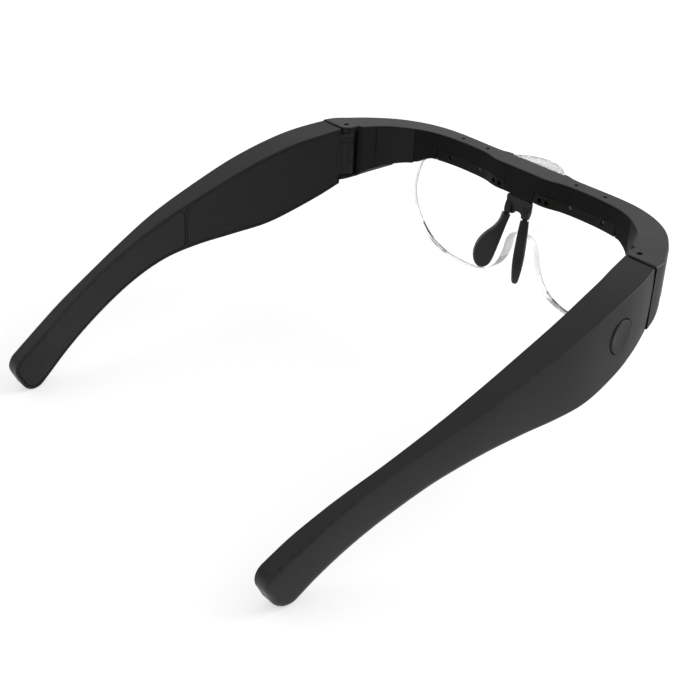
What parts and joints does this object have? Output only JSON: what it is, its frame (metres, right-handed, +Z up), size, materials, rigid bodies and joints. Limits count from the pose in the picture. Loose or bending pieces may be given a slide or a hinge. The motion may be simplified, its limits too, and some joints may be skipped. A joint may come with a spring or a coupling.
{
  "type": "lighted magnifying glasses",
  "caption": "Magnifying glasses with a wide clear lens under a brow bar, a lamp at the bar's middle, nose pads, and thick folding temples with a power button and charging socket.",
  "frame": {"origin": "under the middle of the whole at the level of the temple tips, the lowest points", "axes": "+Z up with the brow bar level, -Y the way the wearer looks, +X the wearer's left"},
  "size_m": [0.1678, 0.1766, 0.0655],
  "materials": {
    "front_shell_plastic": "dark grey, fine satin",
    "rear_cover_plastic": "black satin",
    "brow_pad_rubber": "soft black",
    "rail_plastic": "black",
    "screw_steel": "bright",
    "pin_steel": "plain",
    "bracket_plastic": "black satin",
    "nose_pad_silicone": "soft black",
    "lamp_window_plastic": "clear acrylic",
    "reflector_plastic": "white",
    "light_chip": "yellow phosphor on white",
    "board_laminate": "solder mask",
    "wire_insulation": "thin insulation",
    "lens_acrylic": "clear acrylic, polished",
    "temple_shell_plastic": "dark grey, fine satin",
    "temple_cover_plastic": "black satin",
    "grip_rubber": "soft black, fine texture",
    "battery_foil": "foil pouch",
    "chip_plastic": "black",
    "switch_body": "plain",
    "socket_steel": "plain",
    "light_guide": "milky clear",
    "button_plastic": "black satin"
  },
  "bodies": {
    "frame": {"brow_front_shell": "front_shell_plastic", "brow_rear_cover": "rear_cover_plastic", "brow_pad": "brow_pad_rubber", "lens_rail": "rail_plastic", "rail_screws": "screw_steel", "shell_pins": "pin_steel", "hinge_pin_left": "pin_steel", "hinge_pin_right": "pin_steel", "nose_bracket": "bracket_plastic", "bracket_screw": "screw_steel", "nose_pad_left": "nose_pad_silicone", "nose_pad_right": "nose_pad_silicone", "lamp_window": "lamp_window_plastic", "lamp_reflector": "reflector_plastic", "lamp_chips": "light_chip", "lamp_board": "board_laminate", "lamp_wires": "wire_insulation"},
    "lens": {"magnifier_lens": "lens_acrylic"},
    "temple_left": {"temple_shell_left": "temple_shell_plastic", "temple_cover_left": "temple_cover_plastic", "temple_grip_left": "grip_rubber", "battery_cell": "battery_foil", "battery_leads": "wire_insulation"},
    "temple_right": {"temple_shell_right": "temple_shell_plastic", "temple_cover_right": "temple_cover_plastic", "temple_grip_right": "grip_rubber", "circuit_board": "board_laminate", "control_chip": "chip_plastic", "push_switch": "switch_body", "charging_socket": "socket_steel", "charge_light": "light_guide", "board_screws": "screw_steel"},
    "power_button": {"power_button": "button_plastic"}
  },
  "joints": [
    {"name": "lens_lift_off", "type": "slide", "parent": "frame", "child": "lens", "axis": [0, 0, -1], "range_m": [0, 0.012]},
    {"name": "temple_fold_left", "type": "hinge", "parent": "frame", "child": "temple_left", "pos_m": [0.0685, -0.0519, 0.055], "axis": [0, 0, 1], "range_deg": [0, 90]},
    {"name": "temple_fold_right", "type": "hinge", "parent": "frame", "child": "temple_right", "pos_m": [-0.0685, -0.0519, 0.055], "axis": [0, 0, -1], "range_deg": [0, 80]},
    {"name": "button_press", "type": "slide", "parent": "temple_right", "child": "power_button", "axis": [0.9874, 0.1585, 0], "range_m": [0, 0.0005], "stiffness_N_per_m": 3000}
  ]
}
